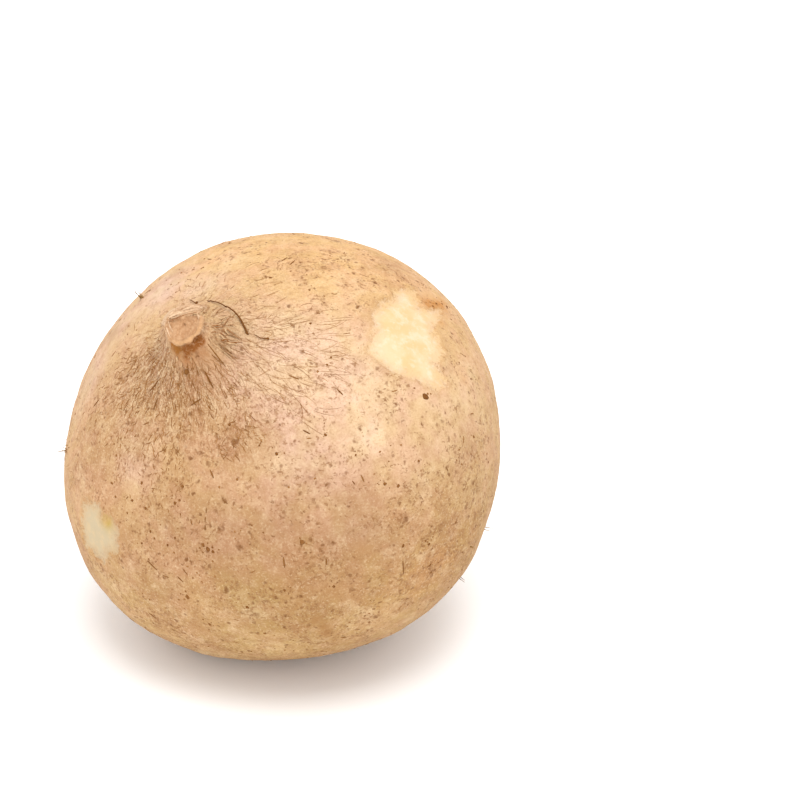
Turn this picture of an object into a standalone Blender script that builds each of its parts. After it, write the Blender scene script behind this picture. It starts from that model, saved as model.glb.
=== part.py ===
"""A jicama: one squat, onion-shaped tuber with a drawn-up crown and a cut stem stub.

The tuber lies on a small flat spot, crown leaning up towards the front left.
Units are metres, +Z is up, and the origin is under the middle of the tuber, on the resting plane.
"""
import math

import bmesh
import bpy
from mathutils import Matrix, Vector

# The body is a solid of revolution about its growth axis, from the taproot end up to the stem stub.
BODY_RADIUS = 0.0592      # widest ring round the growth axis
CROWN_DOME = 0.0480       # body centre to the top of the dome, without the neck
BASE_DOME = 0.0485        # body centre to the taproot end
FULLNESS = 2.1            # 2 gives an ellipsoid, more gives squarer shoulders
NECK_HEIGHT = 0.0264      # height of the neck's curve over the dome, at the growth axis
NECK_SPREAD = 0.0101      # distance from the axis over which the neck falls to about a third

# The stem stub stands on the neck and ends in a slanting, slightly dished cut.
STUB_RADIUS = 0.0052
STUB_WAIST = 0.0048       # narrowest radius, under the rim of the cut
STUB_HEIGHT = 0.0026      # neck to the middle of the cut
CUT_SLOPE = 0.22          # rise of the cut across the stub, per metre
CUT_DISH = 0.0006         # depth of the hollow in the cut face

# The taproot end carries a small dimple with a nub in it.
ROOT_RADIUS = 0.0060
ROOT_DIMPLE = 0.0016
ROOT_NUB = 0.0030

# How the tuber lies: the growth axis leans away from the vertical, towards a compass heading.
LEAN = math.radians(37.0)
LEAN_HEADING = math.radians(-123.5)
FLAT_DEPTH = 0.0016       # thickness taken off the lowest point by the resting spot

# Swellings and hollows: heading and elevation as it lies, height in millimetres, spread in degrees.
LOBES = (
    (-58, 33, 2.1, 22),
    (-114, -3, -2.1, 19),
    (-90, -63, -3.1, 23),
    (-164, -28, 2.2, 20),
    (140, 52, 1.8, 26),
    (0, 0, -1.8, 23),
    (-21, -35, 1.0, 20),
    (-136, -54, 0.7, 18),
    (80, 15, 1.3, 26),
    (50, -62, 1.0, 22),
)

SEGMENTS = 64             # faces round the growth axis
BODY_RINGS = 46           # rings of points from the stub to the taproot end

SKIN_COLOUR = (0.66, 0.42, 0.24, 1.0)
SKIN_ROUGHNESS = 0.62


def clear_scene():
    """Remove every object of the open scene."""
    for thing in list(bpy.data.objects):
        bpy.data.objects.remove(thing, do_unlink=True)


def growth_frame():
    """Rotation from the upright tuber to the tuber as it lies."""
    turn = Matrix.Rotation(LEAN_HEADING, 3, "Z")
    tip = Matrix.Rotation(LEAN, 3, "Y")
    return turn @ tip


def outward(heading, elevation):
    """Unit vector for a heading and an elevation, both in degrees."""
    h = math.radians(heading)
    e = math.radians(elevation)
    return Vector((math.cos(h) * math.cos(e), math.sin(h) * math.cos(e), math.sin(e)))


def lobe_height(direction):
    """Sum of the swellings and hollows along one direction from the body's centre."""
    height = 0.0
    for heading, elevation, swell, spread in LOBES:
        away = direction.angle(outward(heading, elevation))
        height += 0.001 * swell * math.exp(-0.5 * (away / math.radians(spread)) ** 2)
    return height


def neck(radius):
    """Height of the drawn-up neck over the dome, at a distance from the growth axis."""
    return NECK_HEIGHT * math.exp(-radius / NECK_SPREAD)


def root_end(radius):
    """Change of the taproot end along the axis: a dimple with a nub in its middle."""
    share = radius / ROOT_RADIUS
    dimple = ROOT_DIMPLE * math.exp(-0.5 * share ** 2)
    nub = ROOT_NUB * math.exp(-6.0 * share ** 2)
    return dimple - nub


def body_point(polar):
    """Distance from the axis and height of the body's outline, at an angle from the crown."""
    dome = CROWN_DOME if polar < math.pi / 2 else BASE_DOME
    across = abs(math.sin(polar)) / BODY_RADIUS
    along = abs(math.cos(polar)) / dome
    reach = (across ** FULLNESS + along ** FULLNESS) ** (-1.0 / FULLNESS)
    radius = reach * math.sin(polar)
    height = reach * math.cos(polar)
    if polar < math.pi / 2:
        return radius, height + neck(radius)
    return radius, height + root_end(radius)


def outline():
    """Rings of the upright tuber from the cut face to the taproot end, as (radius, height, cut)."""
    first = math.atan2(STUB_RADIUS, CROWN_DOME)
    radius, foot = body_point(first)
    top = foot + STUB_HEIGHT
    rings = [
        (0.50 * STUB_RADIUS, top - 0.8 * CUT_DISH, 1.0),
        (0.90 * STUB_RADIUS, top, 1.0),
        (STUB_RADIUS, top - 0.0004, 1.0),
        (STUB_WAIST, foot + 0.45 * STUB_HEIGHT, 0.4),
    ]
    for ring in range(BODY_RINGS):
        share = ring / BODY_RINGS
        polar = first + (math.pi - first) * share ** 1.12
        radius, height = body_point(polar)
        rings.append((radius, height, 0.0))
    return rings, top - CUT_DISH


def place(frame, x, y, z):
    """Point of the lying tuber for a point of the upright one, lobes included."""
    point = frame @ Vector((x, y, z))
    return point + point.normalized() * lobe_height(point.normalized())


def tuber_mesh():
    """Closed surface of the tuber, body centre at the origin, before the resting spot is cut."""
    frame = growth_frame()
    rings, dish = outline()
    mesh = bmesh.new()
    loops = []
    for radius, height, cut in rings:
        loop = []
        for step in range(SEGMENTS):
            turn = 2.0 * math.pi * step / SEGMENTS
            x = radius * math.cos(turn)
            y = radius * math.sin(turn)
            loop.append(mesh.verts.new(place(frame, x, y, height - cut * CUT_SLOPE * x)))
        loops.append(loop)
    crown = mesh.verts.new(place(frame, 0.0, 0.0, dish))
    root = mesh.verts.new(place(frame, 0.0, 0.0, body_point(math.pi)[1]))
    for step in range(SEGMENTS):
        after = (step + 1) % SEGMENTS
        mesh.faces.new((crown, loops[0][step], loops[0][after]))
        mesh.faces.new((root, loops[-1][after], loops[-1][step]))
        for upper, lower in zip(loops, loops[1:]):
            mesh.faces.new((upper[step], lower[step], lower[after], upper[after]))
    return mesh


def cut_resting_spot(mesh):
    """Slice the underside flat, then set the flat on z = 0 under the middle of the tuber."""
    lowest = min(vert.co.z for vert in mesh.verts)
    level = lowest + FLAT_DEPTH
    everything = mesh.verts[:] + mesh.edges[:] + mesh.faces[:]
    bmesh.ops.bisect_plane(
        mesh,
        geom=everything,
        dist=1e-7,
        plane_co=(0.0, 0.0, level),
        plane_no=(0.0, 0.0, -1.0),
        clear_outer=True,
    )
    rim = [edge for edge in mesh.edges if edge.is_boundary]
    for vert in {end for edge in rim for end in edge.verts}:
        vert.co.z = level
    bmesh.ops.contextual_create(mesh, geom=rim)
    bmesh.ops.recalc_face_normals(mesh, faces=mesh.faces[:])
    middle_x = 0.5 * (min(v.co.x for v in mesh.verts) + max(v.co.x for v in mesh.verts))
    middle_y = 0.5 * (min(v.co.y for v in mesh.verts) + max(v.co.y for v in mesh.verts))
    bmesh.ops.translate(mesh, verts=mesh.verts[:], vec=(-middle_x, -middle_y, -level))


def skin_material():
    """Dry tan skin."""
    material = bpy.data.materials.new("jicama_skin")
    material.use_nodes = True
    shader = material.node_tree.nodes["Principled BSDF"]
    shader.inputs["Base Color"].default_value = SKIN_COLOUR
    shader.inputs["Roughness"].default_value = SKIN_ROUGHNESS
    shader.inputs["Metallic"].default_value = 0.0
    return material


def build():
    """Make the tuber as one closed, smooth-shaded object."""
    mesh = tuber_mesh()
    cut_resting_spot(mesh)
    data = bpy.data.meshes.new("jicama")
    mesh.to_mesh(data)
    mesh.free()
    for face in data.polygons:
        face.use_smooth = abs(face.normal.z) < 0.9999 or face.center.z > 1e-6
    data.materials.append(skin_material())
    tuber = bpy.data.objects.new("jicama", data)
    bpy.context.collection.objects.link(tuber)


clear_scene()
build()
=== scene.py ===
import math
import random
from functools import reduce

import bpy
import numpy as np
from mathutils import Matrix, Vector
from mathutils.bvhtree import BVHTree


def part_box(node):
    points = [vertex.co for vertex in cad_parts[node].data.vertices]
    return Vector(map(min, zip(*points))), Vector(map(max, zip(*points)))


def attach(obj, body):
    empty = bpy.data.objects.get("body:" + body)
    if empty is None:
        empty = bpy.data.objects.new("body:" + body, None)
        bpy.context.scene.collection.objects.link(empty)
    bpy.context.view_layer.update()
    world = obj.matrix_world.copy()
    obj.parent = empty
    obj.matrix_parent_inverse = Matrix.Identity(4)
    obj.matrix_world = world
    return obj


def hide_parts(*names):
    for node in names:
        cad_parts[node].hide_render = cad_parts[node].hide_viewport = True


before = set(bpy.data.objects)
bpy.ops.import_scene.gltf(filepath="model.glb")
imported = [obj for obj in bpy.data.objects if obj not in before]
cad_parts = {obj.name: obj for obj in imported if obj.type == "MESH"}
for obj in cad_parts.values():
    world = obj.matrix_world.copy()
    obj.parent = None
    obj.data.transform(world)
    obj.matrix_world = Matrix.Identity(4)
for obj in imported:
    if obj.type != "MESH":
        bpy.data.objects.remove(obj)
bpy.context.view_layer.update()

# -------- shape of the tuber, in metres
BODY_RADIUS = 0.0592
CROWN_DOME = 0.0480
BASE_DOME = 0.0485
FULLNESS = 2.1
NECK_HEIGHT = 0.0264
NECK_SPREAD = 0.0101
STUB_RADIUS = 0.0052
STUB_HEIGHT = 0.0026
ROOT_RADIUS = 0.0060
ROOT_DIMPLE = 0.0016
ROOT_NUB = 0.0030
LEAN = math.radians(37.0)
LEAN_HEADING = math.radians(-123.5)
FLAT_DEPTH = 0.0016
STUB_BREAK = math.radians(196.0)      # turn that the stub's broken side faces
CUT_SLOPE = 0.22                      # fall of the cut face towards the front

# Swellings and hollows: heading and elevation as it lies, height in millimetres, spread in degrees.
LOBES = (
    (-58, 33, 2.1, 22),
    (-114, -3, -2.1, 19),
    (-90, -63, -3.1, 23),
    (-164, -28, 2.2, 20),
    (140, 52, 1.8, 26),
    (0, 0, -1.8, 23),
    (-21, -35, 1.0, 20),
    (-136, -54, 0.7, 18),
    (80, 15, 1.3, 26),
    (50, -62, 1.0, 22),
)

GRID = 128                # quads along each edge of the cube that is blown up into the tuber
CROWN_CROWDING = 1.45     # more than 1 packs the quads closer round the stem stub

# -------- skin features
# A place on the skin is (angle from the crown, turn round the growth axis), both in degrees.
BIG_PATCH_AT = (54.6, 123.5)
BIG_PATCH = (             # outline in millimetres, rightwards and upwards from its middle
    (2.9, 14.0), (8.3, 13.1), (11.2, 15.6), (18.9, 13.0), (13.6, 7.8), (20.9, 5.0), (21.0, 3.4),
    (13.3, 1.7), (10.0, -3.3), (9.7, -6.3), (4.2, -8.3), (3.6, -14.3), (-1.9, -14.6), (-3.4, -12.3),
    (-4.9, -9.5), (-10.3, -4.4), (-11.4, 0.2), (-10.9, 3.5), (-7.3, 6.3), (-4.9, 7.4), (-2.5, 11.2),
)
YELLOW_MARK_AT = (56.4, -22.7)
SMALL_PATCH_AT = (60.5, -24.1)
SMALL_PATCH = (
    (-9.0, 4.0), (-1.0, 7.1), (0.0, 4.2), (4.3, 5.1), (7.2, 3.2), (7.2, -3.7), (3.1, -6.8),
    (0.0, -10.3), (-3.9, -9.1), (-8.8, -8.7), (-9.0, -2.8),
)

# Corky spots: angle from the crown, turn, radius in millimetres.
SPOTS = (
    (47, -14, 0.50), (47, -7, 0.45), (38, 9, 0.50), (42, 8, 0.40), (69, 9, 0.75), (78, 13, 0.60),
    (58.5, 49, 0.75), (60, 107, 0.95), (85, 84, 0.45), (75, 70, 0.50), (81, 75, 0.50), (8.8, 14, 0.80),
    (72, 26, 0.55), (73, 50, 0.45), (69, 38, 0.50), (82, 27, 0.45), (41, 78, 0.42), (50, 79, 0.38),
    (64, 89, 0.38), (63, 80, 0.45), (60, 78, 0.45), (36, 58, 0.50), (29, 132, 0.40), (23, 43, 0.45),
    (53.7, 17, 0.55), (54.8, 18.6, 0.65), (55.5, 20.3, 0.55), (54.2, 20.5, 0.35), (47, -26, 0.45),
    (68, 142, 0.35), (70.5, 144, 0.40), (73.5, 145, 0.35), (41, -12, 0.45), (87, 72, 0.50),
    (75.6, 145, 0.60), (79, 105, 0.45), (30, 177, 0.50),
)

# Smaller corky spots between them.
SMALL_SPOTS = (
    (49.3, -22, 0.36), (51, -14.6, 0.34), (52.6, -3.3, 0.42), (54.1, -1.4, 0.36), (56.9, -6.3, 0.40),
    (55, 3.7, 0.42), (52.5, 6.5, 0.36), (42.9, 6.1, 0.45), (79.3, 75, 0.40), (89.7, 71.2, 0.42),
)

# Dark dashes: start and end places on the skin.
DASHES = (
    ((61.0, -3.5), (62.8, -0.2)), ((43.8, -61), (41.2, -62)), ((16.2, 15), (14.8, 26)),
    ((14.8, 17), (16.2, 20)), ((37.6, 97), (39.6, 95.5)), ((35.9, 73.6), (38.0, 74.4)),
    ((54.1, 75.3), (55.8, 74.4)), ((78.3, 67.5), (82.0, 65.7)), ((60.2, 42), (62.9, 41)),
    ((65.1, 52.4), (66.6, 51.5)), ((78.6, -5.4), (80.0, -3.8)), ((60.8, 8.8), (62.4, 10.2)),
    ((63.4, 6.8), (64.7, 8.4)), ((24.8, 94.4), (27.6, 94.5)), ((43.6, 20.2), (44.9, 19.9)),
    ((46.0, 19.4), (47.4, 19.0)), ((48.2, 18.9), (49.6, 18.6)), ((19.0, -36), (14.2, -33)),
    ((38.6, -178.1), (41.3, -178.5)), ((38.5, 176.9), (41.1, 177.4)), ((21.3, -22.8), (17.7, -23)),
    ((33.3, 24.4), (35.6, 25.4)), ((9.2, 41.4), (13.3, 42.4)), ((6.0, 74), (10.9, 69)),
)

# Rootlets that stand off the skin: places along each, thickness and lift in millimetres.
ROOTLETS = (
    (((13.3, -156), (10.8, 180), (10.7, 157), (11.2, 142), (12.3, 122)), 0.25, 0.8),
    (((14.0, 121.5), (15.4, 119.0), (17.1, 119.6)), 0.14, 0.3),
    (((20.0, -133), (16.8, -136), (13.9, -142)), 0.17, 0.4),
)

# Tufts of hair on the outline: place, number, length in millimetres.
TUFTS = (
    ((46, -112), 6, 4.2), ((62, -56), 5, 3.0), ((105, 92), 2, 3.6), ((98, 84), 2, 2.0), ((112, 78), 2, 2.2),
)

SEED = 37                 # of the draws that scatter the fine pieces
SMALL_SPOT_SEED = 5
STUDIO_LIGHT = 1.45       # brightness of a white surface facing the light


def srgb(red, green, blue):
    """Surface colour that the studio light, which is brighter than 1, shows as this 0-255 colour."""
    channels = []
    for value in (red, green, blue):
        c = value / 255.0
        linear = c / 12.92 if c <= 0.04045 else ((c + 0.055) / 1.055) ** 2.4
        channels.append(linear / STUDIO_LIGHT)
    return (*channels, 1.0)


TAN = srgb(236, 191, 141)
PALE = srgb(255, 224, 182)
BROWN = srgb(172, 122, 76)
DARK_BROWN = srgb(134, 86, 46)
FRECKLE = srgb(156, 106, 60)
SPOT = srgb(126, 74, 24)
FLESH = srgb(246, 213, 169)
FLESH_YELLOW = srgb(239, 201, 146)
FLESH_WHITE = srgb(252, 229, 199)
GREY_FLESH = srgb(208, 187, 150)
YELLOW_FLESH = srgb(196, 164, 82)
TORN_EDGE = srgb(206, 158, 102)
CUT_DARK = srgb(196, 146, 102)
CUT_LIGHT = srgb(220, 173, 130)
CUT_RIM = srgb(230, 178, 126)

# Factors that turn the skin a little greener or pinker.
GREENER = (0.862, 0.858, 0.772, 1.0)
PINKER = (0.877, 0.828, 0.850, 1.0)

# Broad colours of the skin, some zones painted light and shade: 0-255 colour, then its zones: angle from
# crown, turn, spread in mm, strength.
TINTS = (
    ((252, 203, 142), ((60, 175, 24, 0.9), (48, -150, 17, 0.9), (38, 150, 12, 0.7), (58, 135, 14, 0.6))),
    ((248, 208, 166), ((66, 98, 13, 0.85), (80, 94, 10, 0.4), (70, 113, 8, 0.7))),
    ((255, 216, 170), ((74, 112, 8, 0.6), (68, 101, 9, 0.5), (60, 92, 8, 0.3))),
    # darker towards the base: partly the skin's own colour, partly painted shade
    ((192, 147, 90), ((80, 35, 20, 1.0), (80, -10, 18, 0.6), (118, 0, 36, 0.9))),
    ((202, 154, 88), ((98, 78, 20, 0.7), (80, 62, 10, 0.7), (88, 96, 8, 0.4))),
    ((196, 152, 90), ((66, 30, 6, 0.4), (58, 52, 4, 0.4), (74, -2, 5, 0.4))),
    ((192, 146, 106), ((50, 8, 9, 0.8), (50, 27, 10, 0.85), (52, 44, 10, 0.9), (62, 62, 10, 0.85),
                       (46, 62, 8, 0.75), (54, -10, 7, 0.5), (43, -44, 7, 0.4), (64, 0, 8, 0.5))),
    ((246, 207, 178), ((17, 80, 8, 0.9), (27, 72, 9, 0.9), (38, 66, 8, 0.8), (48, 74, 8, 0.5),
                       (19, 104, 6, 0.9), (12, 98, 4, 0.8))),
    ((255, 220, 188), ((30, 118, 10, 0.8), (40, 104, 11, 0.8), (50, 88, 4, 0.9), (37, -21, 5, 0.8))),
    ((238, 201, 170), ((48, -79, 6, 0.8), (46, -95, 6, 0.8))),
    # paler upper-left edge: painted light from the white surroundings
    ((248, 214, 188), ((38, -120, 7, 0.9), (27, -140, 5, 0.6))),
    # darker lower flank of the crown: partly brown fibrous skin, partly painted shade on the side facing
    # away from the light
    ((190, 140, 96), ((15, -42, 8, 0.85), (26, -52, 9, 0.6), (14, 16, 8, 0.95), (27, 45, 6, 0.8),
                      (22, 10, 8, 0.6), (8, 24, 4, 0.8), (32, -30, 8, 0.6))),
    ((212, 165, 122), ((9, 118, 5, 0.3), (9, -60, 4, 0.4), (52, -40, 8, 0.5), (70, 95, 10, 0.2))),
    ((196, 160, 100), ((70, 27, 6, 0.5), (84, 20, 6, 0.5), (76, 44, 4, 0.4))),
    ((226, 162, 94), ((91, 56, 5, 0.6), (90, 66, 5, 0.6), (88, 75, 4, 0.5))),
    # lighter underside: painted light where the bulge shades the skin above the floor
    ((228, 189, 130), ((91, 25, 9, 0.9), (93, 55, 9, 0.8), (88, -8, 8, 0.8), (78, -14, 6, 0.6))),
)

# Stains that lie over the skin's fibres and freckles, listed as in TINTS; the reddish-brown under the stub's
# lip is partly painted shadow.
STAINS_AND_SHADOW = (
    ((238, 204, 168), ((7.5, -92, 2.2, 0.6), (10, -120, 3.6, 0.5), (9, -72, 1.6, 0.3))),
    ((214, 166, 124), ((9.0, 60, 1.5, 0.8),)),
    ((186, 124, 72), ((6.6, 22, 2.6, 0.9), (6.2, -8, 2.0, 0.8), (6.4, 52, 1.8, 0.8))),
    ((164, 102, 30), ((5.2, -14, 1.5, 1.5), (4.8, 6, 1.0, 1.2))),
    # reddish-brown under the stub's lip: partly a stain, partly painted shadow under the lip
    ((150, 86, 24), ((4.6, 62, 1.25, 2.0), (4.7, 42, 1.3, 2.0), (5.2, 24, 1.1, 1.6), (6.2, 18, 0.6, 1.2))),
    ((208, 142, 72), ((66, 142, 2.0, 1.1), (69, 143, 2.4, 1.2), (72, 144, 2.2, 1.1), (75, 146, 1.8, 0.9),
                      (68, 135, 1.4, 0.7), (72, 119, 1.8, 0.5))),
    ((166, 112, 56), ((81, 41, 1.4, 0.7), (84, 41.3, 1.6, 0.8), (87.5, 41.6, 1.9, 0.8),
                      (91, 42.4, 1.6, 0.6))),
    ((184, 134, 78), ((78, 13, 3.0, 0.6), (80.5, 10, 2.0, 0.6), (69, 9, 2.2, 0.5), (73, 38, 2.5, 0.4),
                      (68, 62, 2.4, 0.5), (73.4, 50, 2.4, 0.5), (92, 30, 3.0, 0.35), (66, 38, 2.0, 0.3),
                      (88, -4, 3.0, 0.4))),
)

# How scurfy the skin is, and where it is calm and smooth: zones as in TINTS.
SCURF = ((15, -42, 10, 0.9), (28, -50, 12, 0.9), (14, 14, 6, 0.25), (27, 45, 6, 0.4), (12, 90, 8, 0.3),
         (42, -48, 12, 0.6), (26, 100, 9, 0.4), (22, 75, 8, 0.5), (60, 10, 16, 0.1), (86, 5, 20, 0.7),
         (82, 42, 14, 0.7), (88, 75, 14, 0.7), (40, 165, 16, 0.3))
CALM = ((9.0, 60, 1.4, 0.6), (7.5, -92, 3.0, 0.9), (10, -120, 4.0, 0.8), (46, -95, 7, 0.7),
        (36, -125, 8, 0.5), (4.7, 50, 1.3, 0.8), (5.0, 28, 1.0, 0.8), (5.4, -14, 1.2, 0.8))

# Patches where the skin is scraped off: name, place, outline, depth in millimetres.
PATCHES = (
    ("big_patch", BIG_PATCH_AT, BIG_PATCH, 0.40),
    ("small_patch", SMALL_PATCH_AT, SMALL_PATCH, 0.25),
)

# Scattered painted marks: cell and size in millimetres, share, seed, strength, depth.
SPOT_LAYERS = (
    (1.2, 0.30, 0.95, 3.1, 0.62, 0.15),
    (2.1, 0.46, 0.95, 7.7, 0.78, 0.25),
    (4.6, 0.70, 0.60, 12.9, 0.85, 0.40),
)


# -------- noise for the geometry
def lattice(cell, seed):
    """Pseudo-random value in -1..1 for each integer cell."""
    mixed = cell[..., 0] * 374761393 + cell[..., 1] * 668265263 + cell[..., 2] * 2147483647
    mixed = (mixed + seed * 974634777) & 0xFFFFFFFF
    mixed = ((mixed ^ (mixed >> 13)) * 1274126177) & 0xFFFFFFFF
    mixed = (mixed ^ (mixed >> 16)) & 0xFFFFFFFF
    return mixed / 2147483647.5 - 1.0


def value_noise(points, seed):
    """Smooth noise in about -1..1 at an array of 3-D points."""
    low = np.floor(points).astype(np.int64)
    part = points - low
    blend = part * part * part * (part * (part * 6 - 15) + 10)
    total = np.zeros(points.shape[:-1])
    for corner in np.ndindex(2, 2, 2):
        step = np.array(corner)
        weight = np.prod(np.where(step == 1, blend, 1.0 - blend), axis=-1)
        total += weight * lattice(low + step, seed)
    return total


def fractal(points, octaves, seed, gain=0.5):
    """Sum of octaves of value noise."""
    total = np.zeros(points.shape[:-1])
    strength = 1.0
    for octave in range(octaves):
        total += strength * value_noise(points * 2.0 ** octave + 17.3 * octave, seed + octave)
        strength *= gain
    return total


def ease(low, high, value):
    """Smooth step from 0 at low to 1 at high."""
    share = np.clip((value - low) / (high - low), 0.0, 1.0)
    return share * share * (3.0 - 2.0 * share)


# -------- base surface
def outward(polar, turn):
    """Unit direction for an angle from the z axis and a turn round it, both in degrees."""
    polar, turn = math.radians(polar), math.radians(turn)
    return np.array((math.sin(polar) * math.cos(turn), math.sin(polar) * math.sin(turn), math.cos(polar)))


def dome_outline(polar):
    """Distance from the axis and height of the body's outline, for an array of angles from the crown."""
    dome = np.where(polar < math.pi / 2, CROWN_DOME, BASE_DOME)
    across = np.abs(np.sin(polar)) / BODY_RADIUS
    along = np.abs(np.cos(polar)) / dome
    reach = (across ** FULLNESS + along ** FULLNESS) ** (-1.0 / FULLNESS)
    radius = reach * np.sin(polar)
    height = reach * np.cos(polar)
    neck = NECK_HEIGHT * np.exp(-radius / NECK_SPREAD)
    share = radius / ROOT_RADIUS
    root = ROOT_DIMPLE * np.exp(-0.5 * share ** 2) - ROOT_NUB * np.exp(-6.0 * share ** 2)
    return radius, height + np.where(polar < math.pi / 2, neck, root)


def whole_outline():
    """Outline from the middle of the cut face to the taproot end: radius, height and length along it."""
    first = math.atan2(STUB_RADIUS, CROWN_DOME)
    radius, height = dome_outline(np.linspace(first, math.pi - 1e-4, 900))
    foot = height[0]
    top = foot + STUB_HEIGHT
    stub = STUB_RADIUS
    start = np.array((
        (0.0, top - 0.0010),
        (0.45 * stub, top - 0.0009),
        (0.74 * stub, top - 0.0005),
        (0.88 * stub, top + 0.0002),
        (0.96 * stub, top + 0.0001),
        (1.00 * stub, top - 0.0004),
        (0.96 * stub, top - 0.0011),
        (0.92 * stub, top - 0.0018),
        (0.95 * stub, foot + 0.0002),
    ))
    radius = np.concatenate((start[:, 0], radius))
    height = np.concatenate((start[:, 1], height))
    length = np.concatenate(((0.0,), np.cumsum(np.hypot(np.diff(radius), np.diff(height)))))
    return radius, height, length


def cube_grid(count):
    """Points of a cube's surface as whole numbers 0..count, its quads, and a map coordinate per corner."""
    steps = np.arange(count + 1)
    first, second = np.meshgrid(steps, steps, indexing="ij")
    flat = (first.ravel(), second.ravel())
    sides = []
    for axis in range(3):
        for level in (0, count):
            side = np.zeros((flat[0].size, 3), np.int64)
            side[:, axis] = level
            side[:, (axis + 1) % 3] = flat[0]
            side[:, (axis + 2) % 3] = flat[1]
            sides.append(side)
    every = np.concatenate(sides)
    keys = (every[:, 0] * (count + 1) + every[:, 1]) * (count + 1) + every[:, 2]
    _, where, same = np.unique(keys, return_index=True, return_inverse=True)
    quads, maps = [], []
    index = np.arange(flat[0].size).reshape(count + 1, count + 1)
    for number in range(6):
        corners = (index[:-1, :-1], index[1:, :-1], index[1:, 1:], index[:-1, 1:])
        if number % 2 == 0:
            corners = corners[::-1]
        block = np.stack([c.ravel() for c in corners], -1)
        quads.append(same[block + number * flat[0].size])
        place = np.stack((flat[0], flat[1]), -1) / count
        cell = np.array((number % 3, number // 3))
        maps.append((cell + 0.008 + 0.984 * place)[block] / np.array((3.0, 2.0)))
    return every[where], np.concatenate(quads), np.concatenate(maps)


def surface_normals(points, quads):
    """Unit normal at each point from the quads round it."""
    a, b, c, d = (points[quads[:, k]] for k in range(4))
    faces = np.cross(c - a, d - b)
    normals = np.zeros_like(points)
    for k in range(4):
        np.add.at(normals, quads[:, k], faces)
    return normals / np.linalg.norm(normals, axis=1, keepdims=True)


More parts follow.
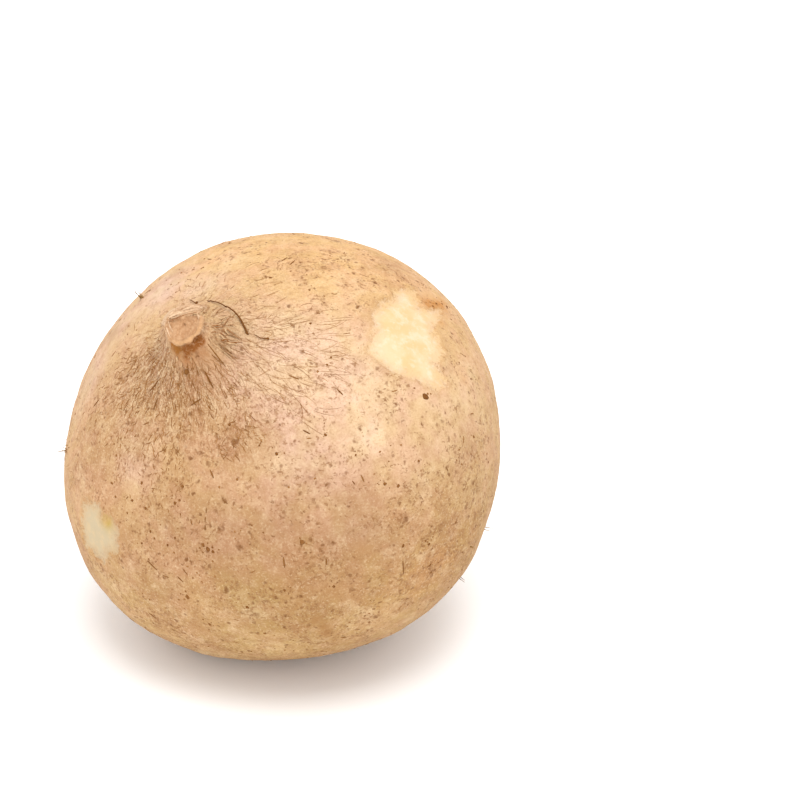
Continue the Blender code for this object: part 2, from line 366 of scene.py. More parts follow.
class Tuber:
    """The tuber's surface as arrays: where each point is, and where it lies on the skin."""

    def __init__(self):
        lattice_points, self.quads, self.map = cube_grid(GRID)
        cube = np.tan((lattice_points / GRID - 0.5) * (math.pi / 2))
        ball = cube / np.linalg.norm(cube, axis=1, keepdims=True)
        polar = np.arccos(np.clip(ball[:, 2], -1.0, 1.0))
        self.turn = np.arctan2(ball[:, 1], ball[:, 0])
        radius, height, length = whole_outline()
        self.along = length[-1] * (polar / math.pi) ** CROWN_CROWDING
        self.ring = np.interp(self.along, length, radius)
        level = np.interp(self.along, length, height)
        # rotation from the upright tuber to the tuber as it lies
        self.frame = np.array(Matrix.Rotation(LEAN_HEADING, 3, "Z") @ Matrix.Rotation(LEAN, 3, "Y"))
        self.cut_edge = length[5]
        self.flatten_stub(level)
        self.lay_down()
        self.edges = {}

    def flatten_stub(self, level):
        """Make the stub a half-moon in plan, broken off straight behind, with its cut sloping forward."""
        chord = 0.30 * STUB_RADIUS
        reach = np.cos(self.turn - STUB_BREAK)
        limit = np.where(reach > 0.05, chord / np.maximum(reach, 0.05), 1.0)
        share = np.minimum(1.0, limit / STUB_RADIUS)
        share = 1.0 - (1.0 - share) * ease(0.0, 0.2, reach)
        near = 1.0 - ease(0.9, 2.2, self.ring / STUB_RADIUS)
        beside = self.ring * (1.0 - near * (1.0 - share))
        x = beside * np.cos(self.turn)
        y = beside * np.sin(self.turn)
        on_stub = 1.0 - ease(self.cut_edge, self.cut_edge + 0.0022, self.along)
        filled = (1.0 - ease(0.70, 1.0, self.ring / STUB_RADIUS)) * (self.along < self.cut_edge)
        level = level - on_stub * CUT_SLOPE * x + 0.0008 * filled * (1.0 - self.lip_side())
        self.upright = np.stack((x, y, level), -1)

    def lip_side(self):
        """How near the side of the stub where its lip is full, from 0 to 1."""
        return np.exp(-0.5 * ((np.degrees(self.turn) - 50.0) / 42.0) ** 2)

    def leaned(self, upright):
        """Points of the leaned and lobed tuber about its middle, and their directions before the lobes."""
        points = upright @ self.frame.T
        direction = points / np.linalg.norm(points, axis=1, keepdims=True)
        swell = np.zeros(len(points))
        for heading, elevation, height, spread in LOBES:
            away = np.degrees(np.arccos(np.clip(direction @ outward(90 - elevation, heading), -1, 1)))
            swell += 0.001 * height * np.exp(-0.5 * (away / spread) ** 2)
        return points + direction * swell[:, None], direction

    def laid(self, upright):
        """Points given on the upright tuber, moved to where they are as it lies."""
        return self.leaned(upright)[0] + self.centre

    def lay_down(self):
        """Lean the tuber over, add the lobes, and set it on its resting spot inside the CAD box."""
        points, direction = self.leaned(self.upright)
        low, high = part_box("jicama")
        middle = 0.5 * (points.min(0) + points.max(0))
        wanted = 0.5 * (np.array(low) + np.array(high))
        floor = points[:, 2].min() + FLAT_DEPTH
        self.centre = np.array((wanted[0] - middle[0], wanted[1] - middle[1], low[2] - floor))
        self.points = points + self.centre
        self.direction = direction
        self.normals = surface_normals(self.points, self.quads)
        # angle from the crown in degrees, before the lobes
        self.polar = np.degrees(np.arccos(np.clip(direction @ self.frame[:, 2], -1, 1)))

    def spot(self, place):
        """Number of the surface point nearest to a place on the skin."""
        return int(np.argmax(self.direction @ (self.frame @ outward(*place))))

    def near(self, place, spread):
        """Soft mask with an uneven edge round a place on the skin, spread in millimetres."""
        moved = self.points + 0.30 * spread * self.warp
        away = np.linalg.norm(moved - self.points[self.spot(place)], axis=1)
        return np.exp(-0.5 * (away * 1000.0 / spread) ** 2)

    def inside(self, place, outline):
        """Distance in millimetres inside an outline drawn on the skin; negative outside it."""
        index = self.spot(place)
        normal = self.normals[index]
        right = np.cross((0.0, 0.0, 1.0), normal)
        right /= np.linalg.norm(right)
        up = np.cross(normal, right)
        offset = (self.points - self.points[index]) * 1000.0
        flat = np.stack((offset @ right, offset @ up), -1)
        corners = np.array(outline)
        inside = np.zeros(len(flat), bool)
        distance = np.full(len(flat), 1e9)
        for start, end in zip(corners, np.roll(corners, -1, axis=0)):
            edge = end - start
            share = np.clip(((flat - start) @ edge) / (edge @ edge), 0.0, 1.0)
            gap = flat - start - share[:, None] * edge
            distance = np.minimum(distance, np.hypot(gap[:, 0], gap[:, 1]))
            crosses = (start[1] > flat[:, 1]) != (end[1] > flat[:, 1])
            slope = edge[0] / edge[1] if abs(edge[1]) > 1e-9 else 0.0
            inside ^= crosses & (flat[:, 0] < start[0] + (flat[:, 1] - start[1]) * slope)
        signed = np.where(inside, distance, -distance)
        behind = (self.normals @ normal) < 0.0
        return np.where(behind, -40.0, np.maximum(signed, -40.0))

    def push(self, amount):
        """Move the surface along its normals, by millimetres."""
        self.points = self.points + self.normals * (amount[:, None] * 0.001)

    def rest(self):
        """Keep the resting spot flat on the floor plane."""
        self.points[:, 2] = np.maximum(self.points[:, 2], 0.0)


def wrinkle(tuber):
    """Raise the skin's furrows, dimples and fine unevenness, and sink the bare patches."""
    along = tuber.along * 1000.0
    ring = tuber.ring * 1000.0
    wheel = np.stack((np.cos(tuber.turn), np.sin(tuber.turn), np.zeros_like(along)), -1)

    def furrows(rate, reach, seed):
        points = wheel * rate
        points[:, 2] = along / reach
        return fractal(points, 2, seed)

    near_crown = ease(5.2, 8.0, ring) * np.exp(-np.maximum(ring - 9.0, 0.0) / 12.0)
    near_crown *= tuber.polar < 90.0
    mm = tuber.points * 1000.0
    amount = np.zeros(len(along))
    for height, rate, reach, seed in ((0.40, 4.0, 15.0, 3), (0.30, 10.0, 8.0, 5), (0.16, 22.0, 5.0, 7)):
        amount += height * near_crown * furrows(rate, reach, seed)
    for height, size, seed in ((0.34, 17.0, 11), (0.11, 5.0, 23), (0.035 + 0.05 * tuber.scurf, 1.7, 31)):
        amount += height * fractal(mm / size, 2, seed)
    on_stub = 1.0 - ease(tuber.cut_edge + 0.0015, tuber.cut_edge + 0.0045, tuber.along)
    lumps = 0.30 * fractal(mm / 2.2, 2, 47) + 0.10 * fractal(mm / 0.9, 2, 53)
    amount += on_stub * (lumps - 0.8 * amount)
    below_cut = along - tuber.cut_edge * 1000.0
    lip = np.exp(-0.5 * ((below_cut - 0.5) / 0.6) ** 2)
    hollow = np.exp(-0.5 * ((below_cut - 2.6) / 0.8) ** 2)
    amount += tuber.lip_side() * (0.35 * lip - 0.55 * hollow)
    amount += 0.45 * lip * fractal(mm / 1.8, 2, 59)
    for name, place, outline, depth in PATCHES:
        edge = tuber.inside(place, outline) + 0.5 * fractal(mm / 4.0, 4, 41, 0.6)
        tuber.edges[name] = edge
        amount -= depth * ease(-0.4, 0.6, edge)
        amount += 0.16 * np.exp(-0.5 * ((edge + 0.9) / 0.55) ** 2)
    tuber.push(amount)


def paint(tuber):
    """Broad colour of the skin at each point with some painted light and shade, its stains and painted
    shadow, and how scurfy and how calm it is.
    """
    mm = tuber.points * 1000.0
    warp = np.stack([fractal(mm / 6.0, 3, seed) for seed in (61, 67, 71)], -1)
    tuber.warp = 0.001 * warp

    def cover(zones):
        share = np.zeros(len(mm))
        for polar, turn, spread, strength in zones:
            share = np.maximum(share, strength * tuber.near((polar, turn), spread))
        return np.minimum(share, 1.0)

    def laid_over(below, colour, share):
        return below + share[:, None] * (np.array(srgb(*colour)[:3]) - below)

    tuber.tint = np.tile(np.array(TAN[:3]), (len(mm), 1))
    for colour, zones in TINTS:
        tuber.tint = laid_over(tuber.tint, colour, cover(zones))
    tuber.stain = tuber.tint
    tuber.stained = np.zeros(len(mm))
    for colour, zones in STAINS_AND_SHADOW:
        share = cover(zones)
        tuber.stain = laid_over(tuber.stain, colour, share)
        tuber.stained = np.maximum(tuber.stained, share)
    tuber.scurf = cover(SCURF)
    tuber.calm = cover(CALM)


def smooth_mesh(name, points, faces):
    """Mesh that is shaded smooth."""
    mesh = bpy.data.meshes.new(name)
    mesh.from_pydata(points, [], faces)
    mesh.shade_smooth()
    return mesh


def add_field(mesh, name, values):
    """Store one number, or one vector, for each point of the mesh."""
    kind, key = ("FLOAT", "value") if values.ndim == 1 else ("FLOAT_VECTOR", "vector")
    field = mesh.attributes.new(name, kind, "POINT")
    field.data.foreach_set(key, np.ascontiguousarray(values, np.float32).ravel())


def body_mesh(tuber):
    """The tuber's mesh, with its map coordinates and the fields that its material reads."""
    mesh = smooth_mesh("jicama_body", tuber.points.tolist(), tuber.quads.tolist())
    layer = mesh.uv_layers.new(name="OFBake")
    layer.data.foreach_set("uv", tuber.map.ravel())
    axis = tuber.frame[:, 2]
    grain = (tuber.normals @ axis)[:, None] * tuber.normals - axis
    fields = {
        "grain": grain / np.maximum(np.linalg.norm(grain, axis=1, keepdims=True), 0.05),
        "ring": tuber.ring * 1000.0 + np.where(tuber.polar > 90.0, 100.0, 0.0),
        "cut": (tuber.cut_edge - tuber.along) * 1000.0,
        "tint": tuber.tint,
        "stain": tuber.stain,
        "stained": tuber.stained,
        "scurf": tuber.scurf,
        "calm": tuber.calm,
        "lip": tuber.lip_side(),
        "small_patch_tone": 1.5 * tuber.near(YELLOW_MARK_AT, 1.7),
        **tuber.edges,
    }
    for name, values in fields.items():
        add_field(mesh, name, values)
    return mesh


# -------- fine pieces on the skin
class Skin:
    """The finished surface of the tuber, for laying fine pieces on."""

    def __init__(self, tuber):
        points = [Vector(point) for point in tuber.points.tolist()]
        self.tree = BVHTree.FromPolygons(points, tuber.quads.tolist())
        self.centre = Vector(tuber.centre)
        self.frame = Matrix(tuber.frame.tolist())
        self.axis = self.frame @ Vector((0.0, 0.0, 1.0))
        self.bare = np.maximum.reduce(list(tuber.edges.values()))[tuber.quads[:, 0]]

    def direction(self, place):
        """Unit direction of a place on the skin from the tuber's middle."""
        return self.frame @ Vector(outward(*place))

    def hit(self, direction):
        """Point and normal where the skin faces this way."""
        point, normal, _, _ = self.tree.ray_cast(self.centre + direction * 0.2, -direction)
        return point, normal

    def has_skin(self, place):
        """Whether the place is clear of the bare patches and of the floor."""
        direction = self.direction(place)
        point, _, face, _ = self.tree.ray_cast(self.centre + direction * 0.2, -direction)
        return self.bare[face] < -0.8 and point.z > 0.0022

    def walk(self, place, bearing, length, bend, count):
        """Path along the skin; bearing is in degrees from straight away from the crown."""
        point, normal = self.hit(self.direction(place))
        away = (normal * self.axis.dot(normal) - self.axis).normalized()
        heading = Matrix.Rotation(math.radians(bearing), 3, normal) @ away
        path = [(point, normal)]
        for _ in range(count - 1):
            heading = Matrix.Rotation(math.radians(bend / count), 3, normal) @ heading
            point, normal, _, _ = self.tree.find_nearest(point + heading * (length / (count - 1)))
            heading = (heading - normal * heading.dot(normal)).normalized()
            path.append((point, normal))
        return path

    def through(self, places, count):
        """Smooth path over the skin through several places."""
        aims = [self.direction(place) for place in places]
        aims = [2 * aims[0] - aims[1], *aims, 2 * aims[-1] - aims[-2]]
        path = []
        for step in range(count):
            share = step / (count - 1) * (len(places) - 1)
            span = min(int(share), len(places) - 2)
            t = share - span
            a, b, c, d = aims[span:span + 4]
            curve = 2 * b + (c - a) * t
            curve += (2 * a - 5 * b + 4 * c - d) * t ** 2
            curve += (3 * b - a - 3 * c + d) * t ** 3
            path.append(self.hit(curve.normalized()))
        return path


def steps(count):
    """Shares from 0 to 1 for this many points along a path."""
    return [step / (count - 1) for step in range(count)]


def lifted(path, heights):
    """The path raised off the skin by a height at each point."""
    return [(point + normal * height, normal) for (point, normal), height in zip(path, heights)]


class Sheaf:
    """Many small closed shapes gathered in one mesh, each with a tone from 0 to 1."""

    def __init__(self):
        self.points = []
        self.faces = []
        self.tones = []

    def add(self, points, faces, tone):
        """Add one closed shape."""
        start = len(self.points)
        self.points += points
        self.faces += [[start + corner for corner in face] for face in faces]
        self.tones += [tone] * len(points)

    def tube(self, path, radii, tone, sides=4, flat=1.0):
        """Tube along a path, with a radius at each point; flat squeezes it towards the skin."""
        points, faces = [], []
        for number, (point, normal) in enumerate(path):
            before = path[max(number - 1, 0)][0]
            after = path[min(number + 1, len(path) - 1)][0]
            side = (after - before).cross(normal).normalized()
            lift = side.cross(after - before).normalized() * flat
            for corner in range(sides):
                angle = 2.0 * math.pi * (corner + 0.5) / sides
                points.append(point + (side * math.cos(angle) + lift * math.sin(angle)) * radii[number])
        for ring in range(len(path) - 1):
            for corner in range(sides):
                here, beside = ring * sides + corner, ring * sides + (corner + 1) % sides
                faces.append((here, here + sides, beside + sides, beside))
        faces.append(tuple(range(sides)))
        faces.append(tuple(reversed(range(len(points) - sides, len(points)))))
        self.add(points, faces, tone)

    def dome(self, point, normal, radii, rise, tone):
        """Low dome with an uneven outline, sunk a little way into the skin."""
        side = normal.orthogonal().normalized()
        other = normal.cross(side)
        count = len(radii)
        points = [point + normal * rise, point - normal * rise * 1.5]
        for scale, level in ((0.62, 0.75), (1.0, -0.15)):
            for corner, radius in enumerate(radii):
                angle = 2.0 * math.pi * corner / count
                reach = (side * math.cos(angle) + other * math.sin(angle)) * radius * scale
                points.append(point + reach + normal * rise * level)
        faces = []
        for corner in range(count):
            inner, beside = 2 + corner, 2 + (corner + 1) % count
            faces.append((inner, beside, 0))
            faces.append((inner + count, beside + count, beside, inner))
            faces.append((beside + count, inner + count, 1))
        self.add(points, faces, tone)

    def piece(self, name, material):
        """Put everything gathered so far in the scene as one piece."""
        mesh = smooth_mesh(name, [point[:] for point in self.points], self.faces)
        add_field(mesh, "tone", np.array(self.tones))
        add_piece(name, mesh, material)


def add_object(name, data):
    """Put an object in the scene."""
    thing = bpy.data.objects.new(name, data)
    bpy.context.collection.objects.link(thing)
    return thing


def add_piece(name, mesh, material):
    """Put a piece in the scene with its material, moving with the tuber."""
    mesh.materials.append(material)
    piece = add_object(name, mesh)
    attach(piece, "root")
    return piece


def taper(count, thick, sharp=0.25):
    """Radii that are full in the middle of a fibre and thin at its ends, in metres."""
    shares = [math.sin(math.pi * (0.5 + step) / count) ** 0.7 for step in range(count)]
    return [0.001 * thick * max(share, sharp) for share in shares]


def crown_fibres(skin, rng):
    """Short dry fibres that lie round the crown, thickest on its lower flank."""
    pick = rng.uniform
    sheaf = Sheaf()
    # number, angles from the crown, turns, lengths and radii in mm, greatest lean off the grain
    bands = (
        (300, (8, 32), (-85, 8), (0.8, 2.6), (0.06, 0.12), 42),
        (80, (8, 22), (0, 60), (0.8, 2.4), (0.06, 0.10), 40),
        (70, (22, 31), (32, 60), (0.8, 2.2), (0.07, 0.12), 70),
        (110, (28, 46), (-75, 10), (0.6, 1.6), (0.06, 0.11), 60),
        (90, (6.5, 16), (-10, 70), (1.0, 4.0), (0.04, 0.09), 26),
        (120, (7, 20), (60, 150), (1.2, 4.5), (0.035, 0.075), 38),
        (110, (15, 36), (75, 140), (2.0, 7.0), (0.035, 0.065), 14),
        (110, (8, 34), (140, 290), (1.0, 4.5), (0.04, 0.09), 30),
    )
    for number, polars, turns, lengths, radii, lean in bands:
        for _ in range(number):
            polar, turn = pick(*polars), pick(*turns)
            length = 0.001 * pick(*lengths)
            bearing, bend = pick(-lean, lean), pick(-50, 50)
            thick, tone = pick(*radii), pick(0.0, 1.0)
            path = skin.walk((polar, turn), bearing, length, bend, 5)
            path = lifted(path, [0.0003 * thick] * 5)
            sheaf.tube(path, taper(5, thick), tone, 4, 0.8)
    sheaf.piece("crown_fibres", tone_material("crown_fibre_look", (136, 82, 30), (198, 144, 86)))


def dark_dashes(skin, rng):
    """The bigger dark slivers that are stuck to the skin."""
    pick = rng.uniform
    sheaf = Sheaf()
    for start, end in DASHES:
        path = lifted(skin.through((start, end), 6), [0.00005] * 6)
        sheaf.tube(path, taper(6, pick(0.15, 0.24)), pick(0.0, 0.6), 5, 0.6)
    for _ in range(130):
        place = (math.degrees(math.acos(pick(-0.95, 0.8))), pick(-180, 180))
        if not skin.has_skin(place):
            continue
        bearing, length, bend = pick(-70, 70), pick(0.7, 2.2), pick(-60, 60)
        path = lifted(skin.walk(place, bearing, 0.001 * length, bend, 5), [0.00004] * 5)
        sheaf.tube(path, taper(5, pick(0.09, 0.17)), pick(0.2, 1.0), 5, 0.6)
    sheaf.piece("dark_slivers", tone_material("sliver_look", (122, 74, 28), (176, 124, 70)))


def corky_spots(skin, rng):
    """Corky spots: the bigger ones in their places, small ones scattered in loose groups."""
    sheaf = Sheaf()

    def spot(draws, place, radius, tone):
        point, normal = skin.hit(skin.direction(place))
        radii = [0.001 * radius * draws.uniform(0.65, 1.2) for _ in range(9)]
        sheaf.dome(point, normal, radii, 0.00010 + 0.00008 * radius, tone)

    # the smaller ones have draws of their own, so that they shift no other piece
    for draws, listed in ((rng, SPOTS), (random.Random(SMALL_SPOT_SEED), SMALL_SPOTS)):
        for polar, turn, radius in listed:
            spot(draws, (polar, turn), radius, draws.uniform(0.0, 0.45))
            for _ in range(3):
                aside = draws.gauss(0, 1.3), draws.gauss(0, 1.5) / math.sin(math.radians(polar))
                near = (polar + aside[0], turn + aside[1])
                spot(draws, near, radius * draws.uniform(0.25, 0.5), draws.uniform(0.3, 0.9))
    for _ in range(90):
        middle = math.degrees(math.acos(rng.uniform(-0.98, 0.86)))
        turn = rng.uniform(-180, 180)
        for _ in range(rng.randint(1, 5)):
            near = (middle + rng.gauss(0, 3.0), turn + rng.gauss(0, 3.0) / math.sin(math.radians(middle)))
            if not skin.has_skin(near):
                continue
            spot(rng, near, rng.uniform(0.16, 0.38), rng.uniform(0.2, 1.0))
    sheaf.piece("corky_spots", tone_material("corky_spot_look", (120, 70, 24), (180, 128, 74)))


def rootlets(skin, rng):
    """Long rootlets that stand off the skin by the crown, each with a knot at its end."""
    sheaf = Sheaf()
    for places, thick, lift in ROOTLETS:
        count = 8 * (len(places) - 1)
        path = skin.through(places, count)
        path = lifted(path, [0.001 * (0.1 + lift * math.sin(math.pi * step)) for step in steps(count)])
        radii = [0.001 * thick * (0.55 + 0.45 * step) for step in steps(count)]
        sheaf.tube(path, radii, rng.uniform(0.0, 0.3), 6)
        point, normal = path[-1]
        for _ in range(4):
            shift = Vector([rng.gauss(0, 0.0002) for _ in range(3)])
            knot = [0.001 * rng.uniform(0.25, 0.42) for _ in range(8)]
            sheaf.dome(point + shift, normal, knot, 0.0003, 0.2)
    sheaf.piece("rootlets", tone_material("rootlet_look", (118, 72, 30), (166, 114, 62)))


def stray_hairs(skin, rng):
    """Fine hairs that stand out from the skin: tufts, and single ones all over."""
    pick = rng.uniform
    sheaf = Sheaf()

    def hair(place, length, thick, lie):
        count = 6
        path = skin.walk(place, pick(-180, 180), length * lie, pick(-80, 80), count)
        rise = length * math.sqrt(max(0.0, 1.0 - lie * lie))
        path = lifted(path, [rise * step - 0.0001 for step in steps(count)])
        radii = [0.001 * thick * (1.0 - 0.75 * step) for step in steps(count)]
        sheaf.tube(path, radii, pick(0.0, 1.0), 4)

    for (polar, turn), number, length in TUFTS:
        for _ in range(number):
            place = (polar + rng.gauss(0, 0.7), turn + rng.gauss(0, 0.9))
            hair(place, 0.001 * length * pick(0.5, 1.0), 0.13, pick(0.05, 0.45))
    for _ in range(150):
        place = (math.degrees(math.acos(pick(-0.97, 0.9))), pick(-180, 180))
        if not skin.has_skin(place):
            continue
        hair(place, 0.001 * pick(0.5, 1.5), 0.055, pick(0.5, 0.95))
    sheaf.piece("stray_hairs", tone_material("hair_look", (138, 98, 50), (206, 168, 104)))


def bark_shards(skin, rng):
    """Torn strips of dry skin that stick out beside the stub."""
    pick = rng.uniform
    sheaf = Sheaf()
    # number, turns, angles from the crown, lengths in mm, greatest lean off the grain, lightest tone
    for number, turns, polars, lengths, lean, lightest in (
        (22, (80, 140), (5.0, 8.5), (2.0, 6.0), 34, 1.0),
        (12, (88, 138), (5.2, 8.4), (1.4, 3.4), 50, 0.2),
        (9, (150, 240), (5.6, 8.5), (1.6, 4.0), 35, 1.0),
        (7, (-100, 60), (5.6, 7.5), (1.0, 2.4), 25, 1.0),
    ):
        for _ in range(number):
            place = (pick(*polars), pick(*turns))
            bearing, length, bend = pick(-lean, lean), pick(*lengths), pick(-50, 50)
            path = skin.walk(place, bearing, 0.001 * length, bend, 8)
            lift, width = pick(0.1, 0.65), pick(0.10, 0.28)
            path = lifted(path, [0.001 * lift * math.sin(math.pi * 0.55 * step) for step in steps(8)])
            radii = [0.001 * width * (1.0 - 0.8 * step ** 1.5) for step in steps(8)]
            sheaf.tube(path, radii, pick(0.0, lightest), 6, 0.35)
    sheaf.piece("bark_shards", tone_material("bark_shard_look", (150, 88, 34), (250, 212, 164)))


# Papery strips on the stub and a dark strip of partly painted shadow, in mm on its cut: start and end as
# (rightwards, backwards), width, bow, tone.
STRIPS = (
    ((-7.4, 0.9), (4.4, 3.9), 0.62, 0.5, 0.80), ((-6.6, 0.5), (2.6, 3.0), 0.50, 0.3, 0.95),
    ((-5.8, 1.7), (5.0, 4.5), 0.48, 0.6, 0.60), ((-3.6, 1.0), (3.9, 3.3), 0.45, 0.2, 0.70),
    ((-7.9, 1.6), (-1.0, 3.2), 0.55, 0.6, 1.00), ((-2.0, 2.6), (4.8, 4.9), 0.30, 0.3, 0.35),
    # dark thin strip along the front edge of the pale layers: a brown line, partly painted shadow where they
    # meet the cut
    ((-4.6, 0.2), (3.6, 2.3), 0.16, 0.2, 0.00),
    ((-5.6, 0.8), (-3.9, -3.0), 0.34, -0.5, 0.90), ((-5.0, 0.2), (-2.9, -3.6), 0.22, -0.4, 1.00),
    ((-4.2, 0.4), (-2.4, -2.2), 0.16, -0.3, 0.85), ((3.9, 1.6), (5.4, -2.0), 0.36, 0.6, 0.70),
)


def papery_strips_and_shade_line(tuber, rng):
    """Thin pale layers of torn skin folded back over the broken edge of the stub and down its left side, and
    a dark line of partly painted shadow.
    """
    back = np.array((math.cos(STUB_BREAK), math.sin(STUB_BREAK)))
    right = np.array((math.sin(STUB_BREAK), -math.cos(STUB_BREAK)))
    rim = tuber.upright[:, 2][tuber.along <= tuber.cut_edge].max()
    axis = Vector(tuber.frame[:, 2])
    sheaf = Sheaf()
    for start, end, width, bow, tone in STRIPS:
        count = 18
        shares = np.linspace(0.0, 1.0, count)
        sway = np.array([rng.gauss(0, 0.05) for _ in range(count)])
        flat = np.outer(1.0 - shares, start) + np.outer(shares, end)
        flat[:, 1] += bow * np.sin(math.pi * shares) + np.convolve(sway, np.ones(4) / 2, "same")
        beyond = np.maximum(np.hypot(flat[:, 0], flat[:, 1]) - 4.4, 0.0)
        level = 0.22 + 0.10 * np.sin(9.0 * shares + width * 20.0) - 0.90 * beyond
        plan = flat[:, :1] * right + flat[:, 1:] * back
        level -= CUT_SLOPE * plan[:, 0]
        points = np.column_stack((0.001 * plan, rim + 0.001 * (level - 0.8)))
        path = [(Vector(point), axis) for point in tuber.laid(points).tolist()]
        radii = [0.001 * width * (0.25 + 0.75 * math.sin(math.pi * (0.12 + 0.8 * share)) ** 0.8)
                 * rng.uniform(0.8, 1.15) for share in shares]
        sheaf.tube(path, radii, tone, 6, 0.30)
    sheaf.piece("papery_strips_and_shade_line", tone_material("papery_strip_and_shade_look", (164, 108, 64), (244, 208, 170)))


# -------- material graph
class Graph:
    """A material's node tree, with short ways to add to it."""

    def __init__(self, name):
        self.material = bpy.data.materials.new(name)
        self.material.use_nodes = True
        self.tree = self.material.node_tree
        self.shader = self.tree.nodes["Principled BSDF"]

    def put(self, socket, value):
        if isinstance(value, bpy.types.NodeSocket):
            self.tree.links.new(value, socket)
        else:
            socket.default_value = value

    def node(self, kind, **settings):
        made = self.tree.nodes.new(kind)
        for key, value in settings.items():
            setattr(made, key, value)
        return made

    def math(self, operation, *values):
        made = self.node("ShaderNodeMath", operation=operation)
        for socket, value in zip(made.inputs, values):
            self.put(socket, value)
        return made.outputs[0]

    def vector(self, operation, *values):
        made = self.node("ShaderNodeVectorMath", operation=operation)
        for socket, value in zip(made.inputs, values):
            self.put(socket, value)
        return made.outputs["Vector"]

    def scaled(self, vector, factor):
        return self.vector("MULTIPLY", vector, (factor, factor, factor))

    def field(self, name, vector=False):
        made = self.node("ShaderNodeAttribute", attribute_name=name)
        return made.outputs["Vector" if vector else "Fac"]

    def noise(self, vector, scale, detail=3.0, rough=0.55, output="Fac"):
        made = self.node("ShaderNodeTexNoise")
        for name, value in (("Vector", vector), ("Scale", scale), ("Detail", detail), ("Roughness", rough)):
            self.put(made.inputs[name], value)
        return made.outputs[output]

    def span(self, value, low, high, to_low=0.0, to_high=1.0):
        made = self.node("ShaderNodeMapRange", interpolation_type="SMOOTHSTEP")
        for socket, item in zip(made.inputs, (value, low, high, to_low, to_high)):
            self.put(socket, item)
        return made.outputs[0]

    def mix(self, factor, first, second, blend="MIX"):
        made = self.node("ShaderNodeMix", data_type="RGBA", blend_type=blend)
        self.put(made.inputs["Factor"], factor)
        self.put(made.inputs[6], first)
        self.put(made.inputs[7], second)
        return made.outputs[2]

    def times(self, *values):
        return reduce(lambda total, value: self.math("MULTIPLY", total, value), values)

    def plus(self, *values):
        return reduce(lambda total, value: self.math("ADD", total, value), values)

    def surface(self, colour, rough, gloss, height, strength, distance):
        """Join colour, roughness and bump to the shader, and return the finished material."""
        self.put(self.shader.inputs["Base Color"], colour)
        self.put(self.shader.inputs["Roughness"], rough)
        self.shader.inputs["Specular IOR Level"].default_value = gloss
        bump = self.node("ShaderNodeBump")
        for name, value in (("Strength", strength), ("Distance", distance), ("Height", height)):
            self.put(bump.inputs[name], value)
        self.put(self.shader.inputs["Normal"], bump.outputs[0])
        return self.material


def spots(g, place, cell, size, share, seed):
    """Scattered round marks, at most one to a cell of the skin; sizes in millimetres."""
    moved = g.vector("ADD", g.scaled(place, 1.0 / cell), (seed, 2.7 * seed, -1.3 * seed))
    cells = g.node("ShaderNodeTexVoronoi", feature="F1")
    g.put(cells.inputs["Vector"], moved)
    cells.inputs["Scale"].default_value = 1.0
    split = g.node("ShaderNodeSeparateColor")
    g.put(split.inputs[0], cells.outputs["Color"])
    chance, grown, tone = split.outputs
    edge = g.math("MULTIPLY_ADD", grown, 0.9 * size / cell, 0.5 * size / cell)
    shown = g.math("LESS_THAN", chance, share)
    mask = g.span(g.math("DIVIDE", cells.outputs["Distance"], edge), 1.35, 0.35)
    return g.times(mask, shown, g.math("MULTIPLY_ADD", tone, 0.6, 0.4))


def streaks(g, place, grain, rate, step, count):
    """Noise drawn out along the grain: the mean of samples taken a step apart."""
    total = 0.0
    for number in range(count):
        shift = (number - 0.5 * (count - 1)) * step
        total = g.plus(total, g.noise(g.vector("ADD", place, g.scaled(grain, shift)), rate, 1.0))
    return g.math("DIVIDE", total, count)


def bare_patch(g, depth, colour, tint):
    """Skin scraped off down to the flesh: the colour with the patch in it, and the patch's mask."""
    rim = g.times(g.span(depth, -1.5, -0.3), g.span(depth, 0.6, -0.2))
    colour = g.mix(g.times(rim, 0.35), colour, TORN_EDGE)
    bare = g.span(depth, -0.6, 0.7)
    veil = g.times(bare, g.span(depth, 0.0, 4.0, 0.52, 1.0))
    return g.mix(veil, colour, tint), bare


